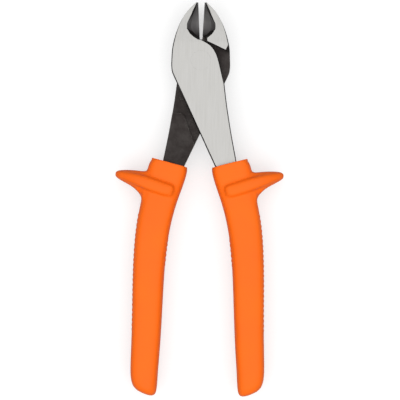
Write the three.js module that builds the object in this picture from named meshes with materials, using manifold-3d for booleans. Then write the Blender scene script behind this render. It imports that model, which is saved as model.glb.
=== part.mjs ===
// Insulated diagonal cutting pliers, 200 mm class, lying flat and a few degrees open.
// Millimetres. The rivet's axis is +Z through the origin, the jaws point along +Y, and z = 0 is the head's
// back face. Both levers are the same forging. The second is the first turned half a turn about the tool's
// long axis, and so is everything moulded on its tang. Each lever crosses the joint: the front one has the
// left jaw and the right handle.

import * as THREE from "three";
import { mergeVertices } from "three/addons/utils/BufferGeometryUtils.js";
import { ConvexGeometry } from "three/addons/geometries/ConvexGeometry.js";
import Module from "manifold-3d";

// ---- Driving dimensions ----

const HEAD_THICKNESS = 12.5;
const MIDDLE = HEAD_THICKNESS / 2;
const OPEN_ANGLE = THREE.MathUtils.degToRad(3); // each lever, from closed to the pose drawn here
const EDGE_RELIEF = 0.05; // what each cutting edge stands back from the closed line
const JOINT_GAP = 0.1; // between the two mating faces

const JAW_TIP_Y = 30.6;
const JAW_TAPER_START_Y = 9.2;
const JAW_TAPER_ANGLE = THREE.MathUtils.degToRad(5.3);
const BEVEL_ANGLE = THREE.MathUtils.degToRad(36); // each side of a cutting edge

const GROUND_EDGE = { width: 0.5, depth: 1.2 }; // forged draft left beside a ground face
const TANG_RELIEF = 1.0; // how far a tang lies back from the mating plane beside its pad
const PAD_SIDE_X = 10.6;
const PAD_END_Y = -20.4;
const TANG_CORE = { bottom: 3.2, top: 9.3 }; // the tang's two faces deep inside the grip
const TANG_THINS_FROM_Y = -56.5;
const TANG_THINS_ANGLE = THREE.MathUtils.degToRad(10);

const RIVET = { shank: 4.0, head: 5.0, headDepth: 1.2, clearance: 0.15 };

const SQUARENESS = { mouth: 6, end: 3.2 }; // of the grip's section: 2 is an ellipse, and more is squarer
const SKIN = 1.2; // tough outer layer
const UNDERCOAT = 0.8; // layer bonded to the tang
const LAYER_GAP = 0.15;
const UNDERCOAT_SETBACK = 0.6; // how far it ends inside the mouth
const MOUTH = { x: 15.5, y: -53.2, angle: Math.atan2(4.6, 17.7) }; // middle and slope of the open end

const CURVE_STEPS = 5;
const GRIP_STATIONS = 20;
const GRIP_SIDES = 24;
const BALL_SIDES = 12;
const BORE_SIDES = 40;
const SLIVER = 0.01; // in the grips, detail finer than this, left where cuts meet, is dropped
const BIG = 120; // longer than anything that a cut has to reach past
const SLAB = 20;
const OVER = 1; // how far a cutter passes the face it cuts
const TAIL = 4; // of a tipped cutter, behind the line that it is tipped about
const PAST_RIM = 1.08; // how far the scoop's cutter follows the wall's slope, with its rim at 1

// ---- Solids ----

const wasm = await Module();
wasm.setup();

function solidFrom(geometry) {
  const bare = geometry.index ? geometry.toNonIndexed() : geometry.clone();
  bare.deleteAttribute("normal");
  bare.deleteAttribute("uv");
  const merged = mergeVertices(bare, 1e-4);
  return new wasm.Manifold(
    new wasm.Mesh({
      numProp: 3,
      vertProperties: merged.attributes.position.array,
      triVerts: new Uint32Array(merged.index.array),
    }),
  );
}

function geometryFrom(solid) {
  const mesh = solid.getMesh();
  const geometry = new THREE.BufferGeometry();
  geometry.setAttribute("position", new THREE.BufferAttribute(mesh.vertProperties, 3));
  geometry.setIndex(new THREE.BufferAttribute(mesh.triVerts, 1));
  geometry.computeVertexNormals();
  return geometry;
}

// A straight-sided solid of an outline, from one height to another.
function prism(outline, bottom, top) {
  const geometry = new THREE.ExtrudeGeometry(outline, {
    depth: top - bottom,
    bevelEnabled: false,
    curveSegments: CURVE_STEPS,
  });
  return solidFrom(geometry.translate(0, 0, bottom));
}

// A solid of an outline, with its edges at the bottom and the top drawn in over a depth. A spread moves
// the whole surface out, and a negative one moves it in.
function rounded(outline, bottom, top, { width, depth, spread = 0 }) {
  const inset = Math.max(width + Math.min(spread, 0), 0.3);
  const fall = Math.max(depth + Math.min(spread, 0), 0.3);
  const geometry = new THREE.ExtrudeGeometry(outline, {
    depth: top - bottom + 2 * spread - 2 * fall,
    bevelEnabled: true,
    bevelThickness: fall,
    bevelSize: inset,
    bevelOffset: spread - inset,
    bevelSegments: 1,
    curveSegments: CURVE_STEPS,
  });
  return solidFrom(geometry.translate(0, 0, bottom - spread + fall));
}

function turned(profile) {
  const points = profile.map(([radius, height]) => new THREE.Vector2(radius, height));
  const geometry = new THREE.LatheGeometry(points, BORE_SIDES);
  return solidFrom(geometry.rotateX(Math.PI / 2));
}

// The tightest solid without hollows round these points.
function hullOf(points) {
  return solidFrom(new ConvexGeometry(points));
}

function hull(points) {
  return hullOf(points.map((p) => new THREE.Vector3(...p)));
}

// A skin over a row of sections with as many corners each, closed by a flat fan at both ends.
function loft(sections) {
  const sides = sections[0].length;
  const last = sections.length - 1;
  const middleOf = (ring) => ring.reduce((sum, p) => sum.add(p), new THREE.Vector3()).divideScalar(sides);
  const corners = [...sections.flat(), middleOf(sections[0]), middleOf(sections[last])];
  const triangles = [];
  for (let k = 0; k < sides; k++) {
    const next = (k + 1) % sides;
    for (let i = 0; i < last; i++) {
      const [a, b, c, d] = [i * sides + k, i * sides + next, (i + 1) * sides + k, (i + 1) * sides + next];
      triangles.push(a, b, c, b, d, c);
    }
    triangles.push(corners.length - 2, next, k);
    triangles.push(corners.length - 1, last * sides + k, last * sides + next);
  }
  const geometry = new THREE.BufferGeometry().setFromPoints(corners);
  geometry.setIndex(triangles);
  return solidFrom(geometry);
}

function polygon(points) {
  return new THREE.Shape(points.map(([x, y]) => new THREE.Vector2(x, y)));
}

// Adds a smooth stretch to an outline, through these points.
function curveThrough(outline, points) {
  outline.splineThru(points.map(([x, y]) => new THREE.Vector2(x, y)));
}

// ---- Lever: jaw, joint and tang in one forging ----

function edgeX(y) {
  return -(y * Math.tan(OPEN_ANGLE) + EDGE_RELIEF);
}

function leverOutline() {
  const outline = new THREE.Shape();
  outline.moveTo(edgeX(JAW_TIP_Y), JAW_TIP_Y);
  outline.lineTo(-2.6, 30.3);
  curveThrough(outline, [
    [-7.8, 24.8], [-11.9, 17.2], [-14.6, 8], [-15.3, -0.5], [-15.1, -5.2], [-14.3, -7.6],
  ]);
  outline.lineTo(8, -54.9); // the straight inner edge of the tang
  outline.lineTo(9.3, -56.4);
  outline.lineTo(15, -68.5);
  curveThrough(outline, [[19.4, -86], [21.9, -108], [22.5, -128], [24.2, -157]]);
  curveThrough(outline, [[27.5, -160.5], [30.6, -157]]);
  curveThrough(outline, [[29.9, -128], [29.2, -106], [26.6, -82], [19.1, -52.2]]);
  curveThrough(outline, [[16.4, -38.5], [13.9, -23.5], [12.4, -12]]);
  outline.lineTo(9.7, -0.9);
  // the nose beside the throat
  curveThrough(outline, [[8.5, 2.9], [6.5, 6.5], [3.9, 8.9], [edgeX(11.4), 11.4]]);
  outline.closePath();
  return outline;
}

// The edge of the tang's full depth, kept clear of the other lever's tang when the handles are squeezed.
const FULL_DEPTH_EDGE = [[2, -46], [3.1, -43], [7.4, -31.3], [8.3, -29], [10, -27.4], [20, -27.2]];

// Takes away the half of the head that the other lever fills, up to the shoulder behind the jaw.
function matingCut() {
  const region = polygon([
    [0.4, 13.5], [-3.2, 11.6], [-3.2, 10.1], [-12.4, 5.8], [-17, 3.65], [-17, -46],
    ...FULL_DEPTH_EDGE, [20, 13.5],
  ]);
  return prism(region, -OVER, MIDDLE + JOINT_GAP / 2);
}

// Lowers the tang beside its machined pad, so that only the pads rub.
function reliefCut() {
  const region = polygon([
    [PAD_SIDE_X, -1], [PAD_SIDE_X, PAD_END_Y], [-17, PAD_END_Y], [-17, -46],
    ...FULL_DEPTH_EDGE, [20, -1],
  ]);
  return prism(region, -OVER, MIDDLE + TANG_RELIEF);
}

// Takes the back of the tang away, so that the tang runs down the middle of its grip.
function undersideCut(spread) {
  const region = polygon([[-20, -24], [40, -24], [40, -170], [-20, -170]]);
  return prism(region, -2 * OVER, TANG_CORE.bottom - spread);
}

// A slab laid on the front face (side 1) or the back face (side -1), a little above it by a spread, and
// tipped down into the head about a line across the tool, towards +Y or -Y.
function faceTaper({ fromY, angle, towards, side, spread = 0 }) {
  const slab = new THREE.BoxGeometry(BIG, BIG, SLAB);
  slab.translate(0, towards * (BIG / 2 - TAIL), (side * SLAB) / 2);
  slab.rotateX(-towards * side * angle);
  slab.translate(0, fromY, MIDDLE + side * (MIDDLE + spread));
  return solidFrom(slab);
}

// Slopes the tang's front face down inside the grip, as far as the core's top.
function frontThinning(spread) {
  const slope = faceTaper({
    fromY: TANG_THINS_FROM_Y,
    angle: TANG_THINS_ANGLE,
    towards: -1,
    side: 1,
    spread,
  });
  const upper = new THREE.BoxGeometry(2 * BIG, 4 * BIG, BIG);
  upper.translate(0, 0, BIG / 2 + TANG_CORE.top + spread);
  return slope.intersect(solidFrom(upper));
}

// The scoop on one side of a cutting edge: a steep wall down from the jaw's face, then the flat bevel that
// runs down to the edge. It is cut in parts, because the wall turns from steep at the tip to a gentle
// run-out.
function cuttingScoop(side) {
  const top = side * (MIDDLE + OVER);
  const endY = JAW_TIP_Y + OVER;
  const rim = [
    [-1.8, endY], [-4.8, 24.8], [-7.4, 18.8], [-7.4, 16.6], [-5.9, 14], [-4, 12.3], [-1.6, 10.8],
  ];
  const foot = [
    [-1.8, endY], [-3.9, 24.8], [-5.3, 19], [-5.4, 17.2], [-4.5, 15.3], [-2.9, 13.7], [0.5, 11.6],
  ];
  const rise = side * Math.cos(OPEN_ANGLE) * Math.tan(BEVEL_ANGLE);
  const onBevel = ([x, y]) => new THREE.Vector3(x, y, (edgeX(y) - x) * rise);
  const onFace = ([x, y]) =>
    new THREE.Vector3(x, y, side * (MIDDLE - (y - JAW_TAPER_START_Y) * Math.tan(JAW_TAPER_ANGLE)));
  const part = (from, to) => {
    const wall = foot.slice(from, to + 1).map(onBevel);
    const pastFace = wall.map((point, i) => point.clone().lerp(onFace(rim[from + i]), PAST_RIM));
    const ends = [rim[from][1], rim[to][1]];
    const open = ends.flatMap((y) => [onBevel([2, y]), new THREE.Vector3(2, y, top)]);
    return hullOf([...wall, ...pastFace, ...open]);
  };
  return part(0, 1).add(part(1, 2)).add(part(2, rim.length - 1)).translate([0, 0, MIDDLE]);
}

// The sloping facet that is left on the outer back corner of the jaw, beside the shoulder.
function cornerFacetCut() {
  return hull([
    [-12.2, 4.9, -0.3], [-14.8, 10.6, -0.3], [-18, 11, -0.3], [-18, 2, -0.3], [-12.2, 2, -0.3],
    [-15.6, 3, 3.4], [-18, 3, 3.4],
  ]);
}

function rivetHole() {
  const { shank, head, headDepth, clearance } = RIVET;
  const cone = (head - shank) / headDepth;
  const wide = head + clearance + OVER * cone;
  return turned([
    [0, -OVER], [wide, -OVER], [shank + clearance, headDepth],
    [shank + clearance, HEAD_THICKNESS - headDepth],
    [wide, HEAD_THICKNESS + OVER], [0, HEAD_THICKNESS + OVER],
  ]);
}

function leverSolid() {
  let lever = rounded(leverOutline(), 0, HEAD_THICKNESS, GROUND_EDGE)
    .subtract(matingCut())
    .subtract(reliefCut())
    .subtract(undersideCut(0))
    .subtract(frontThinning(0));
  for (const side of [1, -1]) {
    lever = lever
      .subtract(faceTaper({ fromY: JAW_TAPER_START_Y, angle: JAW_TAPER_ANGLE, towards: 1, side }))
      .subtract(cuttingScoop(side));
  }
  return lever.subtract(cornerFacetCut()).subtract(rivetHole());
}

// ---- Rivet: a solid pin with a head formed in each countersink and ground flush ----

function rivetSolid() {
  const { shank, head, headDepth } = RIVET;
  return turned([
    [0, 0], [head, 0], [shank, headDepth], [shank, HEAD_THICKNESS - headDepth], [head, HEAD_THICKNESS],
    [0, HEAD_THICKNESS],
  ]);
}

// ---- Insulated grip: undercoat on the tang, soft body, tough skin ----

// One section across the handle: a rounded box between its inner and outer edge, each given as
// [x, y, half thickness].
function handleSection(inner, outer, squareness, spread) {
  const middle = inner.clone().add(outer).divideScalar(2);
  const across = outer.clone().sub(inner).setZ(0).divideScalar(2);
  const grownAcross = across.clone().setLength(across.length() + spread);
  const bulge = (value) => Math.sign(value) * Math.abs(value) ** (2 / squareness);
  return Array.from({ length: GRIP_SIDES }, (_, k) => {
    const turn = (2 * Math.PI * (k + 0.5)) / GRIP_SIDES;
    const point = grownAcross.clone().multiplyScalar(bulge(Math.cos(turn)));
    point.x += middle.x;
    point.y += middle.y;
    point.z = MIDDLE + (middle.z + spread) * bulge(Math.sin(turn));
    return point;
  });
}

// The handle's two edges from past its mouth down to where the end cap starts, as [x, y, half thickness].
const INNER_EDGE = [[6.4, -44, 9], [6.6, -58.6, 9], [10.4, -70.2, 8.8], [14.7, -86, 8.8], [17.4, -106, 8.6],
  [18.2, -127, 8.2], [19.4, -146, 8.4], [20.8, -162, 8.8]];
const OUTER_EDGE = [[22, -39, 9], [27.1, -54, 9], [28.5, -66, 8.8], [31.9, -83.5, 8.8], [34, -105, 8.6],
  [34.5, -127, 8.2], [34.6, -146, 8.4], [35.3, -162, 8.8]];
const END_CAP = [
  { at: [27.9, -167], radius: 7.5, halfThickness: 8 },
  { at: [25.1, -170.8], radius: 3.6, halfThickness: 5.6 },
];

// The finger guard: a low rib across the front and the back that runs out into a horn on the outer side.
const GUARD = [
  { at: [15, -68.4], radius: 3, halfThickness: 9.9 },
  { at: [29, -63.3], radius: 5.6, halfThickness: 10.3 },
  { at: [34, -61.7], radius: 4.9, halfThickness: 8.6 },
  { at: [41.3, -59.2], radius: 2.3, halfThickness: 5.2 },
];

function ballPoints({ at, radius, halfThickness }, spread) {
  const ball = new THREE.SphereGeometry(1, BALL_SIDES, BALL_SIDES / 2);
  ball.rotateX(Math.PI / 2);
  ball.scale(radius + spread, radius + spread, halfThickness + spread);
  ball.translate(at[0], at[1], MIDDLE);
  const corners = ball.attributes.position;
  return Array.from({ length: corners.count }, (_, i) =>
    new THREE.Vector3().fromBufferAttribute(corners, i),
  );
}

function handleSolid(spread) {
  const edge = (points) => new THREE.CatmullRomCurve3(points.map((p) => new THREE.Vector3(...p)));
  const inner = edge(INNER_EDGE);
  const outer = edge(OUTER_EDGE);
  const sections = [];
  for (let i = 0; i <= GRIP_STATIONS; i++) {
    const t = i / GRIP_STATIONS;
    const squareness = THREE.MathUtils.lerp(SQUARENESS.mouth, SQUARENESS.end, t);
    sections.push(handleSection(inner.getPoint(t), outer.getPoint(t), squareness, spread));
  }
  const cap = hullOf([...sections.at(-1), ...END_CAP.flatMap((ball) => ballPoints(ball, spread))]);
  return loft(sections).add(cap);
}

function gripBlank(spread) {
  let grip = handleSolid(spread);
  for (let i = 1; i < GUARD.length; i++) {
    grip = grip.add(hullOf([...ballPoints(GUARD[i - 1], spread), ...ballPoints(GUARD[i], spread)]));
  }
  return grip;
}

// Everything above the mouth, which slopes across the handle, moved up or down the handle by an offset.
function aboveMouth(offset) {
  const box = new THREE.BoxGeometry(BIG, BIG, BIG);
  box.translate(0, BIG / 2 + offset, 0);
  box.rotateZ(MOUTH.angle);
  box.translate(MOUTH.x, MOUTH.y, 0);
  return solidFrom(box);
}

// The part of the bare tang that the insulation covers, grown by a layer.
function tangInside(spread) {
  const wide = rounded(leverOutline(), 0, HEAD_THICKNESS, { ...GROUND_EDGE, spread });
  return wide.subtract(undersideCut(spread)).subtract(frontThinning(spread));
}

function undercoatSolid() {
  return tangInside(LAYER_GAP + UNDERCOAT)
    .intersect(gripBlank(-SKIN - LAYER_GAP))
    .subtract(tangInside(LAYER_GAP))
    .subtract(aboveMouth(-UNDERCOAT_SETBACK));
}

function cushionSolid() {
  return gripBlank(-SKIN - LAYER_GAP)
    .subtract(tangInside(2 * LAYER_GAP + UNDERCOAT))
    .subtract(aboveMouth(0));
}

function skinSolid() {
  return gripBlank(0).subtract(gripBlank(-SKIN)).subtract(aboveMouth(0));
}

// ---- Materials ----

const groundSteel = new THREE.MeshStandardMaterial({ color: 0xcfceca, roughness: 0.35, metalness: 1 });
const forgedSteel = new THREE.MeshStandardMaterial({ color: 0x3b3736, roughness: 0.5, metalness: 1 });
const whiteUndercoat = new THREE.MeshStandardMaterial({ color: 0xece9e0, roughness: 0.6, metalness: 0 });
const softOrange = new THREE.MeshStandardMaterial({ color: 0xf06a1e, roughness: 0.7, metalness: 0 });
const toughOrange = new THREE.MeshStandardMaterial({ color: 0xff7219, roughness: 0.45, metalness: 0 });

// ---- Assembly ----

function named(name, geometry, material) {
  const mesh = new THREE.Mesh(geometry, material);
  mesh.name = name;
  return mesh;
}

const leverGeometry = geometryFrom(leverSolid());
const undercoatGeometry = geometryFrom(undercoatSolid().simplify(SLIVER));
const cushionGeometry = geometryFrom(cushionSolid().simplify(SLIVER));
const skinGeometry = geometryFrom(skinSolid().simplify(SLIVER));

// One lever with the insulation on its tang, as it stands in the front half of the tool.
function half(leverName, leverMaterial, side) {
  const group = new THREE.Group();
  group.add(named(leverName, leverGeometry, leverMaterial));
  group.add(named(`${side}_undercoat`, undercoatGeometry, whiteUndercoat));
  group.add(named(`${side}_grip_cushion`, cushionGeometry, softOrange));
  group.add(named(`${side}_grip_skin`, skinGeometry, toughOrange));
  return group;
}

const frontHalf = half("front_lever", groundSteel, "right");
const backHalf = half("back_lever", forgedSteel, "left");
backHalf.rotation.y = Math.PI;
backHalf.position.z = HEAD_THICKNESS;

const pliers = new THREE.Group();
pliers.add(frontHalf);
pliers.add(backHalf);
pliers.add(named("pivot_rivet", geometryFrom(rivetSolid()), groundSteel));

export default pliers;
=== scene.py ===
"""Insulated diagonal cutting pliers, 200 mm class, lying flat on a pale studio floor.

Metres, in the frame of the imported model: the rivet's axis is +Z through the origin, the jaws point along
+Y, and the head's back face is at z = 0. Both levers are the same forging, so each piece of the right-hand
side is made once and then turned over about the tool's long axis to give the left-hand one.
"""

import math

import bpy
import numpy as np
from mathutils import Matrix, Vector


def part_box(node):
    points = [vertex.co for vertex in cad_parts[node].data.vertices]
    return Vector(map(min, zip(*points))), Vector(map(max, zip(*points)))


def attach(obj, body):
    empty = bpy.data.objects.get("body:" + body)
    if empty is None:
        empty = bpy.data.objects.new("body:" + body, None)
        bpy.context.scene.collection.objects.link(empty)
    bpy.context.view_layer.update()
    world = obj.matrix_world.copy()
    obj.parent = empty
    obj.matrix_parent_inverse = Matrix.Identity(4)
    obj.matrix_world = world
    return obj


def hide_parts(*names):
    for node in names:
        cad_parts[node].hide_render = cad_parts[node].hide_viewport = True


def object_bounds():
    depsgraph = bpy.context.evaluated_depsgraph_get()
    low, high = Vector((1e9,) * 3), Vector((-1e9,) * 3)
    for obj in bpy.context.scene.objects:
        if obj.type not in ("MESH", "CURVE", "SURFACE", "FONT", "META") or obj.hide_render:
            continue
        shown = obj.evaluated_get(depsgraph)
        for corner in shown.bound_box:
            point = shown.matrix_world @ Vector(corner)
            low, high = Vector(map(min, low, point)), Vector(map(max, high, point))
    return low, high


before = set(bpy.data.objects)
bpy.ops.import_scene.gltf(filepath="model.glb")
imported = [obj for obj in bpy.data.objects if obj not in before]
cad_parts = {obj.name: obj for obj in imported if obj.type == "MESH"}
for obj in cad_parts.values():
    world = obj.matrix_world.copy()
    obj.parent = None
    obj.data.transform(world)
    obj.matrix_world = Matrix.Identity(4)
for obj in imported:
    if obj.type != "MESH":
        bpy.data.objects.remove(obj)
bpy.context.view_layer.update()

MM = 0.001


# ----------------------------------------------------------------------------------------------------
# Front and back lever. Each is one drop forging of tool steel: jaw, joint and tang. The outer face and the
# jaw's two faces are ground bright along the tool. The sides, the joint and the tang's inner side keep the
# black skin of the forging and hardening, and the cutting bevels are left dark grey.
# ----------------------------------------------------------------------------------------------------

HEAD_BACK, HEAD_FRONT = (corner.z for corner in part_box("front_lever"))
MIDDLE = (HEAD_BACK + HEAD_FRONT) / 2
FLAT = 0.97  # a face counts as flat when its normal is this close to the tool's axis
GROUND_FLAT = 0.9999  # and when it is this close it is dead flat, and is shaded so
WELD = 0.02 * MM
FINE_WELD = 0.004 * MM
SAME_PLANE = math.radians(0.6)
EDGE_ROUND = 0.28 * MM
SHARP_CORNER = math.radians(24)  # the forging's edges from this angle up are rounded
LEVER_SMOOTH_BELOW = math.radians(28)
FACE_BLEND = 2.2 * MM  # the soft change where the jaw's face starts to taper
TAPER_START = 9.2 * MM
TAPER_ANGLES = (math.radians(3), math.radians(9))
TAPER_REACH = 0.4 * MM  # how far from that line, and from the face, its edges may lie
FACE_REACH = 0.2 * MM
ON_FACE = 0.02 * MM
SHOULDER_Y = 3.4 * MM
LAP_HALF_DEPTH = 1.5 * MM
RIVET_ZONE = 5.6 * MM
THROAT_Y = 11.5 * MM
# The painted shade on the bevels fades out from the throat to this line.
PAINTED_SHADE_END_Y = 20 * MM  # from here to the tip the bevel is at its lightest
HALF_OPEN = math.radians(3)
EDGE_X_PER_Y = -math.tan(HALF_OPEN)  # the cutting edge's lean in the pose drawn
BEVEL_SLOPE = math.cos(HALF_OPEN) * math.tan(math.radians(36))
BEVEL_LIKE = 0.995  # how close a face's normal is to the bevel's, on the bevel and on the wall round it
WALL_LIKE = 0.97
EDGE_LAND_DEPTH = 0.3 * MM  # the narrow land along the cutting edge
EDGE_LAND_WIDTH = 0.5 * MM


def only(obj):
    """Leaves this object alone selected, and active."""
    for other in bpy.context.selected_objects:
        other.select_set(False)
    obj.select_set(True)
    bpy.context.view_layer.objects.active = obj


def apply_modifier(obj, name, kind, **settings):
    only(obj)
    modifier = obj.modifiers.new(name, kind)
    for key, value in settings.items():
        setattr(modifier, key, value)
    bpy.ops.object.modifier_apply(modifier=modifier.name)


def select_edges(obj, wanted):
    """Goes to edit mode with only the edges selected that wanted(edge ends, angle between faces) accepts."""
    only(obj)
    bpy.ops.object.mode_set(mode="EDIT")
    bpy.ops.mesh.select_mode(type="EDGE")
    bpy.ops.mesh.select_all(action="DESELECT")
    bpy.ops.object.mode_set(mode="OBJECT")
    mesh = obj.data
    normals = {}
    for face in mesh.polygons:
        for key in face.edge_keys:
            normals.setdefault(key, []).append(face.normal.copy())
    for edge in mesh.edges:
        sides = normals.get(tuple(sorted(edge.vertices)), [])
        if len(sides) == 2:
            ends = [mesh.vertices[i].co for i in edge.vertices]
            edge.select = bool(wanted(ends, sides[0].angle(sides[1], 0.0)))
    bpy.ops.object.mode_set(mode="EDIT")


def merged_copy(node, name):
    """A welded copy of a CAD node, with its flat faces in one piece, to be reworked."""
    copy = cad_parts[node].copy()
    copy.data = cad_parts[node].data.copy()
    copy.parent = None
    copy.name = name
    for key in [k for k in copy.keys() if k.startswith("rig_")]:
        del copy[key]
    bpy.context.scene.collection.objects.link(copy)
    only(copy)
    bpy.ops.object.mode_set(mode="EDIT")
    bpy.ops.mesh.select_all(action="SELECT")
    bpy.ops.mesh.remove_doubles(threshold=WELD)
    bpy.ops.mesh.dissolve_degenerate(threshold=WELD)
    bpy.ops.mesh.dissolve_limited(angle_limit=SAME_PLANE)
    bpy.ops.object.mode_set(mode="OBJECT")
    copy.data.materials.clear()
    return copy


def turned_over(obj, name):
    """The same piece in the other half of the tool: a copy turned half a turn about the long axis."""
    copy = obj.copy()
    copy.data = obj.data.copy()
    copy.name = name
    bpy.context.scene.collection.objects.link(copy)
    centre = Matrix.Translation((0, 0, MIDDLE))
    copy.data.transform(centre @ Matrix.Rotation(math.pi, 4, "Y") @ centre.inverted())
    return copy


front_lever = merged_copy("front_lever", "front_lever_forging")

select_edges(
    front_lever,
    lambda ends, angle: TAPER_ANGLES[0] < angle < TAPER_ANGLES[1]
    and all(abs(end.y - TAPER_START) < TAPER_REACH for end in ends)
    and all(min(abs(end.z - HEAD_FRONT), abs(end.z - HEAD_BACK)) < FACE_REACH for end in ends),
)
bpy.ops.mesh.bevel(offset=FACE_BLEND, segments=4, clamp_overlap=True)
bpy.ops.object.mode_set(mode="OBJECT")

select_edges(
    front_lever,
    lambda ends, angle: angle > SHARP_CORNER
    and all(math.hypot(end.x, end.y) > RIVET_ZONE for end in ends),
)
bpy.ops.mesh.bevel(offset=EDGE_ROUND, segments=3, clamp_overlap=True)
bpy.ops.object.mode_set(mode="OBJECT")
only(front_lever)
bpy.ops.object.mode_set(mode="EDIT")
bpy.ops.mesh.select_all(action="SELECT")
bpy.ops.mesh.remove_doubles(threshold=FINE_WELD)
bpy.ops.mesh.quads_convert_to_tris()
bpy.ops.object.mode_set(mode="OBJECT")
bpy.ops.object.shade_smooth_by_angle(angle=LEVER_SMOOTH_BELOW)
apply_modifier(front_lever, "even shading", "WEIGHTED_NORMAL", keep_sharp=True, weight=90)
lever_mesh = front_lever.data
shading = [corner.vector.copy() for corner in lever_mesh.corner_normals]
for face in lever_mesh.polygons:
    if abs(face.normal.z) > GROUND_FLAT:
        for corner in face.loop_indices:
            shading[corner] = face.normal.copy()
lever_mesh.normals_split_custom_set(shading)


def node_group(name, inputs, outputs):
    """An empty shader group with these sockets, and its two end nodes."""
    group = bpy.data.node_groups.new(name, "ShaderNodeTree")
    for label, value in inputs:
        socket = group.interface.new_socket(label, in_out="INPUT", socket_type="NodeSocketFloat")
        socket.default_value = value
    for label in outputs:
        group.interface.new_socket(label, in_out="OUTPUT", socket_type="NodeSocketFloat")
    return group, group.nodes.new("NodeGroupInput"), group.nodes.new("NodeGroupOutput")


def add(tree, kind, **settings):
    """A node of this kind; a setting named for a socket sets it, and any other sets the node."""
    node = tree.nodes.new(kind)
    for key, value in settings.items():
        label = key.replace("_", " ")
        if label in node.inputs:
            node.inputs[label].default_value = value
        else:
            setattr(node, key, value)
    return node


def wire(tree, source, target):
    tree.links.new(source, target)


# Grinding marks: fine scratches and broader streaks that run along the tool.
grind_group, ins, outs = node_group(
    "Grinding Marks", [("Across", 2600.0), ("Along", 60.0)], ["Marks", "Streaks"]
)
place = add(grind_group, "ShaderNodeTexCoord")
for label, across, along in (("Marks", 1.0, 1.0), ("Streaks", 0.13, 0.3)):
    size = add(grind_group, "ShaderNodeCombineXYZ")
    for socket, source, factor in ((0, "Across", across), (1, "Along", along), (2, "Across", across)):
        scaled = add(grind_group, "ShaderNodeMath", operation="MULTIPLY")
        wire(grind_group, ins.outputs[source], scaled.inputs[0])
        scaled.inputs[1].default_value = factor
        wire(grind_group, scaled.outputs[0], size.inputs[socket])
    stretched = add(grind_group, "ShaderNodeVectorMath", operation="MULTIPLY")
    wire(grind_group, place.outputs["Object"], stretched.inputs[0])
    wire(grind_group, size.outputs[0], stretched.inputs[1])
    streak = add(grind_group, "ShaderNodeTexNoise", Scale=1.0, Detail=4.0, Roughness=0.62)
    wire(grind_group, stretched.outputs[0], streak.inputs["Vector"])
    wire(grind_group, streak.outputs["Fac"], outs.inputs[label])

# Forging skin: a pebbly scale with broader patches.
skin_group, ins, outs = node_group("Forging Skin", [("Scale", 900.0)], ["Height", "Patches"])
place = add(skin_group, "ShaderNodeTexCoord")
pebbles = add(skin_group, "ShaderNodeTexNoise", Detail=6.0, Roughness=0.65)
patches = add(skin_group, "ShaderNodeTexNoise", Scale=130.0, Detail=3.0, Roughness=0.6)
wire(skin_group, place.outputs["Object"], pebbles.inputs["Vector"])
wire(skin_group, place.outputs["Object"], patches.inputs["Vector"])
wire(skin_group, ins.outputs["Scale"], pebbles.inputs["Scale"])
wire(skin_group, pebbles.outputs["Fac"], outs.inputs["Height"])
wire(skin_group, patches.outputs["Fac"], outs.inputs["Patches"])

# Edge rubbing and painted highlight: where a normal that is averaged over a small radius leaves the
# surface's own, so along the edges, less in the hollows, and broken up by a noise. The lighter edges stand
# for real rubbing and for a painted highlight where the edges catch the light.
edge_rub_and_highlight_group, ins, outs = node_group("Edge Wear", [("Gain", 5.0), ("Breakup", 700.0)], ["Wear"])
rounded = add(edge_rub_and_highlight_group, "ShaderNodeBevel", samples=6, Radius=0.45 * MM)
own = add(edge_rub_and_highlight_group, "ShaderNodeNewGeometry")
agreement = add(edge_rub_and_highlight_group, "ShaderNodeVectorMath", operation="DOT_PRODUCT")
wire(edge_rub_and_highlight_group, rounded.outputs["Normal"], agreement.inputs[0])
wire(edge_rub_and_highlight_group, own.outputs["Normal"], agreement.inputs[1])
leaving = add(edge_rub_and_highlight_group, "ShaderNodeMath", operation="SUBTRACT")
leaving.inputs[0].default_value = 1.0
wire(edge_rub_and_highlight_group, agreement.outputs["Value"], leaving.inputs[1])
gained = add(edge_rub_and_highlight_group, "ShaderNodeMath", operation="MULTIPLY", use_clamp=True)
wire(edge_rub_and_highlight_group, leaving.outputs[0], gained.inputs[0])
wire(edge_rub_and_highlight_group, ins.outputs["Gain"], gained.inputs[1])
open_air = add(edge_rub_and_highlight_group, "ShaderNodeAmbientOcclusion", samples=4, Distance=1.2 * MM)
opened = add(edge_rub_and_highlight_group, "ShaderNodeMapRange", clamp=True)
opened.inputs["From Min"].default_value = 0.7
wire(edge_rub_and_highlight_group, open_air.outputs["AO"], opened.inputs["Value"])
place = add(edge_rub_and_highlight_group, "ShaderNodeTexCoord")
breakup = add(edge_rub_and_highlight_group, "ShaderNodeTexNoise", Detail=3.0)
wire(edge_rub_and_highlight_group, place.outputs["Object"], breakup.inputs["Vector"])
wire(edge_rub_and_highlight_group, ins.outputs["Breakup"], breakup.inputs["Scale"])
patchy = add(edge_rub_and_highlight_group, "ShaderNodeMapRange", clamp=True)
patchy.inputs["From Min"].default_value = 0.35
patchy.inputs["From Max"].default_value = 0.6
wire(edge_rub_and_highlight_group, breakup.outputs["Fac"], patchy.inputs["Value"])
rubbed_and_highlit = gained.outputs[0]
for mask in (opened, patchy):
    product = add(edge_rub_and_highlight_group, "ShaderNodeMath", operation="MULTIPLY", use_clamp=True)
    wire(edge_rub_and_highlight_group, rubbed_and_highlit, product.inputs[0])
    wire(edge_rub_and_highlight_group, mask.outputs["Result"], product.inputs[1])
    rubbed_and_highlit = product.outputs[0]
wire(edge_rub_and_highlight_group, rubbed_and_highlit, outs.inputs["Wear"])


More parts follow.
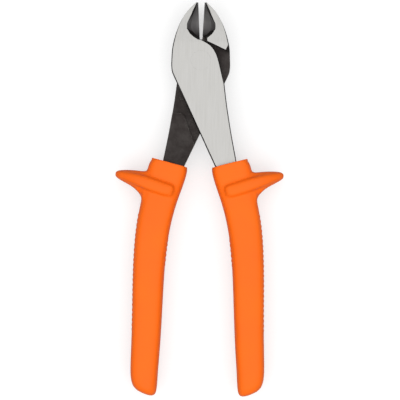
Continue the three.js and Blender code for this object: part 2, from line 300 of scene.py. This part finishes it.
def new_material(name, **constants):
    """A material with a Principled shader, whose sockets hold these constants."""
    material = bpy.data.materials.new(name)
    material.use_nodes = True
    shader = material.node_tree.nodes["Principled BSDF"]
    for key, value in constants.items():
        shader.inputs[key.replace("_", " ")].default_value = value
    return material, material.node_tree, shader


def use_group(tree, group, **values):
    node = tree.nodes.new("ShaderNodeGroup")
    node.node_tree = group
    for key, value in values.items():
        node.inputs[key].default_value = value
    return node


def ranged(tree, source, low, high, start=0.0, end=1.0):
    """The source's values from start to end, brought to low to high."""
    node = add(tree, "ShaderNodeMapRange", clamp=True)
    node.inputs["From Min"].default_value = start
    node.inputs["From Max"].default_value = end
    node.inputs["To Min"].default_value = low
    node.inputs["To Max"].default_value = high
    wire(tree, source, node.inputs["Value"])
    return node.outputs["Result"]


def mixed(tree, factor, first, second):
    """A colour between two others, each an RGB triple or a socket."""
    node = add(tree, "ShaderNodeMix", data_type="RGBA")
    for socket, value in ((node.inputs[6], first), (node.inputs[7], second)):
        if isinstance(value, tuple):
            socket.default_value = (*value, 1.0)
        else:
            wire(tree, value, socket)
    wire(tree, factor, node.inputs[0])
    return node.outputs[2]


def bumped(tree, shader, height, strength, distance):
    bump = add(tree, "ShaderNodeBump", Strength=strength, Distance=distance)
    wire(tree, height, bump.inputs["Height"])
    wire(tree, bump.outputs["Normal"], shader.inputs["Normal"])


def ground_steel():
    """Bright face, ground along the tool on a belt and lightly polished."""
    material, tree, shader = new_material("Ground Steel", Metallic=1.0)
    marks = use_group(tree, grind_group, Across=2400.0, Along=55.0)
    streaks = ranged(tree, marks.outputs["Streaks"], 0, 1, 0.35, 0.65)
    tone = mixed(tree, streaks, (0.36, 0.355, 0.343), (0.41, 0.405, 0.393))
    fine = mixed(tree, ranged(tree, marks.outputs["Marks"], 0, 0.5, 0.4, 0.75), tone, (0.31, 0.305, 0.29))
    wire(tree, fine, shader.inputs["Base Color"])
    wire(tree, ranged(tree, marks.outputs["Streaks"], 0.3, 0.46, 0.3, 0.7), shader.inputs["Roughness"])
    bumped(tree, shader, marks.outputs["Marks"], 0.12, 0.02 * MM)
    return material


def forged_steel():
    """Black skin of the hardened forging, its edges lightened, partly rubbed bright and partly a painted
    highlight.
    """
    material, tree, shader = new_material("Forged Steel", Metallic=1.0)
    skin = use_group(tree, skin_group, Scale=1100.0)
    rub_and_highlight = use_group(tree, edge_rub_and_highlight_group, Gain=4.0, Breakup=500.0)
    patches = ranged(tree, skin.outputs["Patches"], 0, 1, 0.3, 0.7)
    tone = mixed(tree, patches, (0.024, 0.02, 0.019), (0.044, 0.039, 0.037))
    # The edges go lighter: partly real rubbing, partly a painted highlight.
    rubbed_and_highlit = mixed(tree, rub_and_highlight.outputs["Wear"], tone, (0.13, 0.125, 0.115))
    wire(tree, rubbed_and_highlit, shader.inputs["Base Color"])
    wire(tree, ranged(tree, skin.outputs["Height"], 0.36, 0.56, 0.3, 0.7), shader.inputs["Roughness"])
    bumped(tree, shader, skin.outputs["Height"], 0.35, 0.06 * MM)
    return material


def bevel_steel(name, dark, light):
    """The jaw's scoop: milled, hardened and left dark grey, with painted shade making it blackest towards
    the throat.
    """
    material, tree, shader = new_material(name, Metallic=0.9)
    marks = use_group(tree, grind_group, Across=1500.0, Along=300.0)
    rub_and_highlight = use_group(tree, edge_rub_and_highlight_group, Gain=3.0, Breakup=900.0)
    streaks = ranged(tree, marks.outputs["Streaks"], 0, 1, 0.3, 0.7)
    tone = mixed(tree, streaks, dark, light)
    place = add(tree, "ShaderNodeTexCoord")
    split = add(tree, "ShaderNodeSeparateXYZ")
    wire(tree, place.outputs["Object"], split.inputs[0])
    # Painted shade: towards the throat, where the jaws meet, the bevel's colour goes near black.
    clear_of_painted_shade = ranged(tree, split.outputs["Y"], 0, 1, THROAT_Y, PAINTED_SHADE_END_Y)
    shaded = mixed(tree, clear_of_painted_shade, (0.055, 0.048, 0.05), tone)
    # The edges go lighter: partly real rubbing, partly a painted highlight.
    rubbed_and_highlit = mixed(tree, rub_and_highlight.outputs["Wear"], shaded, (0.34, 0.33, 0.32))
    wire(tree, rubbed_and_highlit, shader.inputs["Base Color"])
    wire(tree, ranged(tree, marks.outputs["Marks"], 0.28, 0.42, 0.3, 0.7), shader.inputs["Roughness"])
    bumped(tree, shader, marks.outputs["Marks"], 0.15, 0.03 * MM)
    return material


def finish_of(face):
    """0 for the black forging skin, 1 for a ground face, 2 for a cutting bevel, 3 for the wall round it,
    which is given darker steel as painted shade.
    """
    middle, normal = face.center, face.normal
    jaw = middle.y > SHOULDER_Y and abs(middle.z - MIDDLE) > LAP_HALF_DEPTH
    outer = middle.z > HEAD_FRONT - ON_FACE
    if abs(normal.z) > FLAT and (outer or jaw):
        return 1
    side = 1 if middle.z > MIDDLE else -1
    bevel_normal = Vector((BEVEL_SLOPE, -BEVEL_SLOPE * EDGE_X_PER_Y, side)).normalized()
    from_edge = EDGE_X_PER_Y * middle.y - middle.x
    near_edge = abs(middle.z - MIDDLE) < EDGE_LAND_DEPTH and from_edge < EDGE_LAND_WIDTH
    likeness = normal.dot(bevel_normal)
    if middle.y > THROAT_Y and (likeness > BEVEL_LIKE or near_edge):
        return 2
    if middle.y > THROAT_Y and likeness > WALL_LIKE:
        return 3
    return 0


for material in (
    forged_steel(),
    ground_steel(),
    bevel_steel("Bevel Steel", (0.25, 0.242, 0.242), (0.35, 0.343, 0.343)),
    # The wall's steel is the bevel's made darker: painted shade on the steeper facet.
    bevel_steel("Scoop Wall Steel Painted Shade", (0.14, 0.135, 0.133), (0.26, 0.252, 0.25)),
):
    front_lever.data.materials.append(material)
for face in front_lever.data.polygons:
    face.material_index = finish_of(face)

back_lever = turned_over(front_lever, "back_lever_forging")
for lever, node, body in (
    (front_lever, "front_lever", "front_half"),
    (back_lever, "back_lever", "back_half"),
):
    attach(lever, body)
    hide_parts(node)


# ----------------------------------------------------------------------------------------------------
# Rivet. A solid steel pin, headed into a countersink in each lever and ground flush with both faces, so that
# its ends all but vanish in the ground steel.
# ----------------------------------------------------------------------------------------------------

RIVET_SHANK = 4.0 * MM
RIVET_HEAD = 5.13 * MM  # just inside the flats of the hole, so that it can turn
BORE_SIDES = 40  # as many as the hole has
COUNTERSINK = 1.2 * MM
RIVET_END_RINGS = (0.5 * MM, 1.8 * MM)
SMOOTH_BELOW = math.radians(30)

bpy.ops.object.select_all(action="DESELECT")
bpy.ops.mesh.primitive_cylinder_add(
    vertices=BORE_SIDES,
    radius=RIVET_SHANK,
    depth=HEAD_FRONT - HEAD_BACK - 2 * COUNTERSINK,
    location=(0, 0, MIDDLE),
)
rivet = bpy.context.object
rivet.name = "flush_rivet"
bpy.ops.object.transform_apply(location=True)
for side in (1, -1):
    bpy.ops.object.mode_set(mode="EDIT")
    bpy.ops.mesh.select_mode(type="FACE")
    bpy.ops.mesh.select_all(action="DESELECT")
    bpy.ops.object.mode_set(mode="OBJECT")
    for face in rivet.data.polygons:
        face.select = face.normal.z * side > FLAT
    bpy.ops.object.mode_set(mode="EDIT")
    bpy.ops.mesh.extrude_region_move(TRANSFORM_OT_translate={"value": (0, 0, side * COUNTERSINK)})
    grow = RIVET_HEAD / RIVET_SHANK
    bpy.ops.transform.resize(value=(grow, grow, 1), center_override=(0, 0, MIDDLE))
    for ring in RIVET_END_RINGS:
        bpy.ops.mesh.inset(thickness=ring)
    bpy.ops.object.mode_set(mode="OBJECT")
bpy.ops.object.shade_smooth_by_angle(angle=SMOOTH_BELOW)
rivet.data.materials.append(bpy.data.materials["Ground Steel"])
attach(rivet, "back_half")
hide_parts("pivot_rivet")


# ----------------------------------------------------------------------------------------------------
# Bonded undercoat. A thin white coat dipped onto each tang before the body is moulded; where white shows
# through the orange, the insulation is damaged. Only its rim shows, just inside the mouth.
# ----------------------------------------------------------------------------------------------------

# Moulding grain: the fine matt surface that a sparked mould leaves, with faint clouding.
grain_group, ins, outs = node_group("Moulding Grain", [("Scale", 2600.0)], ["Height", "Clouds"])
place = add(grain_group, "ShaderNodeTexCoord")
fine = add(grain_group, "ShaderNodeTexNoise", Detail=3.0, Roughness=0.6)
clouds = add(grain_group, "ShaderNodeTexNoise", Scale=45.0, Detail=4.0, Roughness=0.55)
wire(grain_group, place.outputs["Object"], fine.inputs["Vector"])
wire(grain_group, place.outputs["Object"], clouds.inputs["Vector"])
wire(grain_group, ins.outputs["Scale"], fine.inputs["Scale"])
wire(grain_group, fine.outputs["Fac"], outs.inputs["Height"])
wire(grain_group, clouds.outputs["Fac"], outs.inputs["Clouds"])


def moulded(name, deep, light, roughness, scale, depth):
    """Moulded plastic or rubber, its colour drifting between two tones, with grain this fine and deep."""
    material, tree, shader = new_material(name, Metallic=0.0, Specular_IOR_Level=0.18)
    grain = use_group(tree, grain_group, Scale=scale)
    tone = mixed(tree, ranged(tree, grain.outputs["Clouds"], 0, 1, 0.3, 0.7), deep, light)
    wire(tree, tone, shader.inputs["Base Color"])
    wire(tree, ranged(tree, grain.outputs["Clouds"], *roughness, 0.3, 0.7), shader.inputs["Roughness"])
    bumped(tree, shader, grain.outputs["Height"], 0.4, depth)
    return material


undercoat_white = moulded(
    "White Undercoat",
    (0.72, 0.7, 0.62),
    (0.8, 0.78, 0.72),
    roughness=(0.5, 0.62),
    scale=1800.0,
    depth=0.02 * MM,
)
right_undercoat = merged_copy("right_undercoat", "right_dipped_undercoat")
bpy.ops.object.shade_smooth_by_angle(angle=SMOOTH_BELOW)
right_undercoat.data.materials.append(undercoat_white)
left_undercoat = turned_over(right_undercoat, "left_dipped_undercoat")


# ----------------------------------------------------------------------------------------------------
# Grip body. Soft orange plastic moulded round the coated tang, which fills the skin and cushions the hand.
# Only its end shows, in the mouth round the tang.
# ----------------------------------------------------------------------------------------------------

soft_orange = moulded(
    "Soft Orange Body",
    (0.80, 0.13, 0.01),
    (0.88, 0.16, 0.014),
    roughness=(0.6, 0.75),
    scale=1500.0,
    depth=0.04 * MM,
)
right_cushion = merged_copy("right_grip_cushion", "right_grip_body")
bpy.ops.object.shade_smooth_by_angle(angle=SMOOTH_BELOW)
right_cushion.data.materials.append(soft_orange)
left_cushion = turned_over(right_cushion, "left_grip_body")

for piece, node, body, slot in (
    (right_undercoat, "right_undercoat", "front_half", "undercoat"),
    (left_undercoat, "left_undercoat", "back_half", "undercoat"),
    (right_cushion, "right_grip_cushion", "front_half", "grip_core"),
    (left_cushion, "left_grip_cushion", "back_half", "grip_core"),
):
    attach(piece, body)
    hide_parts(node)


# ----------------------------------------------------------------------------------------------------
# Grip skin. A tough orange skin moulded over the body, with a collar at the mouth, a finger guard that runs
# as a rib across both faces and out into a horn, and rows of raised pips along its two sides for hold.
# ----------------------------------------------------------------------------------------------------

SKIN_THICKNESS = 0.9 * MM
# Each section: its middle, half its width and half its thickness in mm, and its turn in degrees.
HANDLE = [
    (14.0, -49.9, 7.8, 8.6, 15),
    (15.2, -53.2, 9.0, 8.9, 15),
    (15.7, -54.3, 9.8, 9.1, 15),
    (16.6, -56.4, 10.3, 9.2, 15),
    (17.8, -61.4, 10.1, 8.2, 16),
    (19.6, -68.2, 9.4, 8.3, 17),
    (22.0, -77.0, 9.0, 8.9, 15),
    (24.2, -88.0, 8.8, 8.9, 10),
    (25.6, -102.0, 8.4, 8.6, 4),
    (26.2, -118.0, 8.1, 8.3, 1),
    (26.5, -134.0, 7.8, 8.3, 0),
    (27.1, -150.0, 7.6, 8.5, 1),
    (27.8, -162.0, 7.3, 8.7, 3),
    (27.7, -169.4, 7.0, 8.2, 10),
    (26.9, -174.3, 5.5, 5.8, 22),
]
# The rib across the grip's faces, from its inner end out along the horn, and the horn's body under it.
RIB = [
    (12.8, -68.7, 2.2, 9.0, 18),
    (14.6, -68.1, 3.5, 11.0, 18),
    (21.5, -65.9, 3.6, 11.2, 18),
    (28.0, -63.7, 3.5, 10.9, 17),
    (33.0, -62.0, 3.2, 9.8, 15),
    (38.0, -60.5, 2.6, 7.8, 14),
    (41.8, -59.5, 1.9, 5.6, 13),
    (43.6, -59.1, 1.0, 3.2, 13),
]
HORN = [
    (25.0, -66.4, 8.8, 6.8, 14),
    (27.6, -65.4, 8.4, 7.0, 14),
    (29.3, -64.2, 6.5, 7.0, 14),
    (31.4, -62.8, 5.2, 6.9, 14),
    (33.6, -61.8, 4.5, 6.7, 14),
    (36.5, -60.9, 3.8, 6.2, 13),
    (40.2, -60.0, 2.9, 5.0, 12),
    (42.8, -59.4, 2.0, 3.8, 10),
    (44.1, -59.2, 1.1, 2.4, 10),
]
ALONG_RUN = 0.7  # an edge runs along the body when its direction is this close to it
LONG_CORNER = 0.7  # and is one of its long corners when its faces meet at more than this, in radians
MOUTH_POINT = Vector((15.5, -53.2, 0)) * MM
MOUTH_TURN = math.radians(14.6)
MOUTH_FACING = Vector((-math.sin(MOUTH_TURN), math.cos(MOUTH_TURN), 0))
HANDLE_CORNER = 4.2 * MM
RIB_CORNER = 3.2 * MM
HORN_CORNER = 3.0 * MM
VOXEL = 0.48 * MM
CORNER_SOFTENING = 28  # rounds of smoothing
SKIN_SMOOTH_BELOW = math.radians(50)
LIP_SOFTNESS = 0.7 * MM
PIP_PITCH = 2.6 * MM
PIP_RADIUS = 0.95 * MM
PIP_HEIGHT = 0.24 * MM
PIPS_BEGIN = 0.55  # how far the surface faces sideways where the pips begin
PIPS_FULL = 0.75  # and where they have their full height
OUTER_PIPS = (-142 * MM, -78 * MM)  # the stretch of the handle that has them
INNER_PIPS = (-108 * MM, -92 * MM)


def cross_section(x, y, half_width, half_thickness, turn, lying_across):
    """Adds a rectangle of edges, to be bridged to the next one."""
    centre = (x * MM, y * MM, MIDDLE)
    heading = math.radians(turn) + (0 if lying_across else math.pi / 2)
    bpy.ops.mesh.primitive_plane_add(size=2 * MM, location=centre, rotation=(math.pi / 2, 0, 0))
    bpy.ops.transform.resize(value=(half_width, 1, half_thickness), center_override=centre)
    bpy.ops.transform.rotate(value=-heading, orient_axis="Z", center_override=centre)


def bridged(name, sections, lying_across, corner):
    """A closed body over a row of rectangular sections, with its long edges rounded off."""
    bpy.ops.object.select_all(action="DESELECT")
    mesh = bpy.data.meshes.new(name)
    obj = bpy.data.objects.new(name, mesh)
    bpy.context.scene.collection.objects.link(obj)
    only(obj)
    bpy.ops.object.mode_set(mode="EDIT")
    bpy.ops.mesh.select_mode(type="EDGE")
    for section in sections:
        cross_section(*section, lying_across)
    bpy.ops.mesh.select_all(action="SELECT")
    bpy.ops.mesh.delete(type="ONLY_FACE")
    bpy.ops.mesh.select_all(action="SELECT")
    bpy.ops.mesh.bridge_edge_loops()
    bpy.ops.mesh.select_all(action="DESELECT")
    bpy.ops.mesh.select_non_manifold()
    bpy.ops.mesh.edge_face_add()
    bpy.ops.mesh.select_all(action="SELECT")
    bpy.ops.mesh.normals_make_consistent(inside=False)
    bpy.ops.object.mode_set(mode="OBJECT")
    run = Vector((0, 1, 0)) if lying_across else Vector((1, 0, 0))
    select_edges(
        obj,
        lambda ends, angle: angle > LONG_CORNER
        and abs((ends[0] - ends[1]).normalized().dot(run)) > ALONG_RUN,
    )
    bpy.ops.mesh.bevel(offset=corner, segments=2, clamp_overlap=True)
    bpy.ops.object.mode_set(mode="OBJECT")
    apply_modifier(obj, "soft form", "SUBSURF", levels=3, render_levels=3)
    return obj


def raise_pips(obj):
    """Raises round pips out of the grip, in a long field on its outer side and a short one on its inner."""
    mesh = obj.data
    count = len(mesh.vertices)
    places = np.empty(count * 3)
    facing = np.empty(count * 3)
    mesh.vertices.foreach_get("co", places)
    mesh.vertices.foreach_get("normal", facing)
    places = places.reshape(-1, 3)
    facing = facing.reshape(-1, 3)
    along, across = places[:, 1], places[:, 2] - MIDDLE
    distance = np.hypot(
        along - np.round(along / PIP_PITCH) * PIP_PITCH, across - np.round(across / PIP_PITCH) * PIP_PITCH
    )
    dome = np.clip(1 - (distance / PIP_RADIUS) ** 2, 0, 1)
    for side, (end, start) in ((1, OUTER_PIPS), (-1, INNER_PIPS)):
        on_side = np.clip((facing[:, 0] * side - PIPS_BEGIN) / (PIPS_FULL - PIPS_BEGIN), 0, 1)
        in_field = np.clip((start - along) / PIP_PITCH, 0, 1) * np.clip((along - end) / PIP_PITCH, 0, 1)
        height = PIP_HEIGHT * dome * on_side * in_field
        places += facing * height[:, None]
    mesh.vertices.foreach_set("co", places.ravel())
    mesh.update()


right_skin = bridged("right_grip_outer_skin", HANDLE, lying_across=True, corner=HANDLE_CORNER)
rib = bridged("rib", RIB, lying_across=False, corner=RIB_CORNER)
horn = bridged("horn", HORN, lying_across=False, corner=HORN_CORNER)
only(right_skin)
rib.select_set(True)
horn.select_set(True)
bpy.ops.object.join()
apply_modifier(right_skin, "one moulding", "REMESH", mode="VOXEL", voxel_size=VOXEL, use_smooth_shade=True)
apply_modifier(right_skin, "soft corners", "SMOOTH", factor=0.6, iterations=CORNER_SOFTENING)
only(right_skin)
bpy.ops.object.mode_set(mode="EDIT")
bpy.ops.mesh.select_all(action="SELECT")
bpy.ops.mesh.bisect(plane_co=MOUTH_POINT, plane_no=MOUTH_FACING, clear_outer=True)
bpy.ops.object.mode_set(mode="OBJECT")
raise_pips(right_skin)
apply_modifier(right_skin, "skin thickness", "SOLIDIFY", thickness=SKIN_THICKNESS, offset=-1, use_rim=True)
lip = right_skin.vertex_groups.new(name="lip")
near_mouth = [
    vertex.index
    for vertex in right_skin.data.vertices
    if (vertex.co - MOUTH_POINT).dot(MOUTH_FACING) > -LIP_SOFTNESS
]
lip.add(near_mouth, 1.0, "REPLACE")
apply_modifier(right_skin, "soft lip", "SMOOTH", factor=0.5, iterations=3, vertex_group="lip")
bpy.ops.object.shade_smooth_by_angle(angle=SKIN_SMOOTH_BELOW)

tough_orange = moulded(
    "Tough Orange Skin",
    (0.92, 0.138, 0.004),
    (0.97, 0.155, 0.005),
    roughness=(0.42, 0.55),
    scale=2600.0,
    depth=0.03 * MM,
)
right_skin.data.materials.append(tough_orange)
left_skin = turned_over(right_skin, "left_grip_outer_skin")
for piece, node, body in (
    (right_skin, "right_grip_skin", "front_half"),
    (left_skin, "left_grip_skin", "back_half"),
):
    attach(piece, body)
    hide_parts(node)


# ----------------------------------------------------------------------------------------------------
# Studio: a pale floor under the tool, an even white surround and one broad soft light overhead.
# ----------------------------------------------------------------------------------------------------

FLOOR_TONE = 0.45
FLOOR_SIZE = 6.0
FLOOR_LIFT = 0.58  # light added only where the camera sees the floor, so that it shows white
SURROUND = 0.35
LAMP_SIZE = 3.0
LAMP_HEIGHT = 1.3
LAMP_Y = -0.55  # a little towards the handles' ends
LAMP_POWER = 32.5
CAMERA_PLACE = (0.0004, -0.0725, 1.165)
CAMERA_ROLL = math.radians(0.65)
CAMERA_LENS = 200
CAMERA_SENSOR = 36

bpy.ops.object.select_all(action="DESELECT")
floor_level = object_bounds()[0].z
bpy.ops.mesh.primitive_plane_add(size=FLOOR_SIZE, location=(0, 0, floor_level))
floor = bpy.context.object
floor.name = "studio_floor"
floor_paint, floor_tree, floor_shader = new_material("Studio Floor", Roughness=0.9)
floor_shader.inputs["Base Color"].default_value = (FLOOR_TONE, FLOOR_TONE, FLOOR_TONE, 1)
floor_shader.inputs["Emission Color"].default_value = (1, 1, 1, 1)
seen = add(floor_tree, "ShaderNodeLightPath")
lift = ranged(floor_tree, seen.outputs["Is Camera Ray"], 0, FLOOR_LIFT)
wire(floor_tree, lift, floor_shader.inputs["Emission Strength"])
floor.data.materials.append(floor_paint)

world = bpy.data.worlds.new("Studio Surround")
bpy.context.scene.world = world
world.use_nodes = True
world.node_tree.nodes["Background"].inputs["Color"].default_value = (1, 1, 1, 1)
world.node_tree.nodes["Background"].inputs["Strength"].default_value = SURROUND

bpy.ops.object.light_add(type="AREA", location=(0, LAMP_Y, LAMP_HEIGHT))
lamp = bpy.context.object
lamp.data.shape = "DISK"
lamp.data.size = LAMP_SIZE
lamp.data.energy = LAMP_POWER

bpy.ops.object.camera_add(location=CAMERA_PLACE, rotation=(0, 0, CAMERA_ROLL))
camera = bpy.context.object
camera.data.lens = CAMERA_LENS
camera.data.sensor_width = CAMERA_SENSOR
bpy.context.scene.camera = camera
bpy.context.scene.view_settings.view_transform = "Standard"
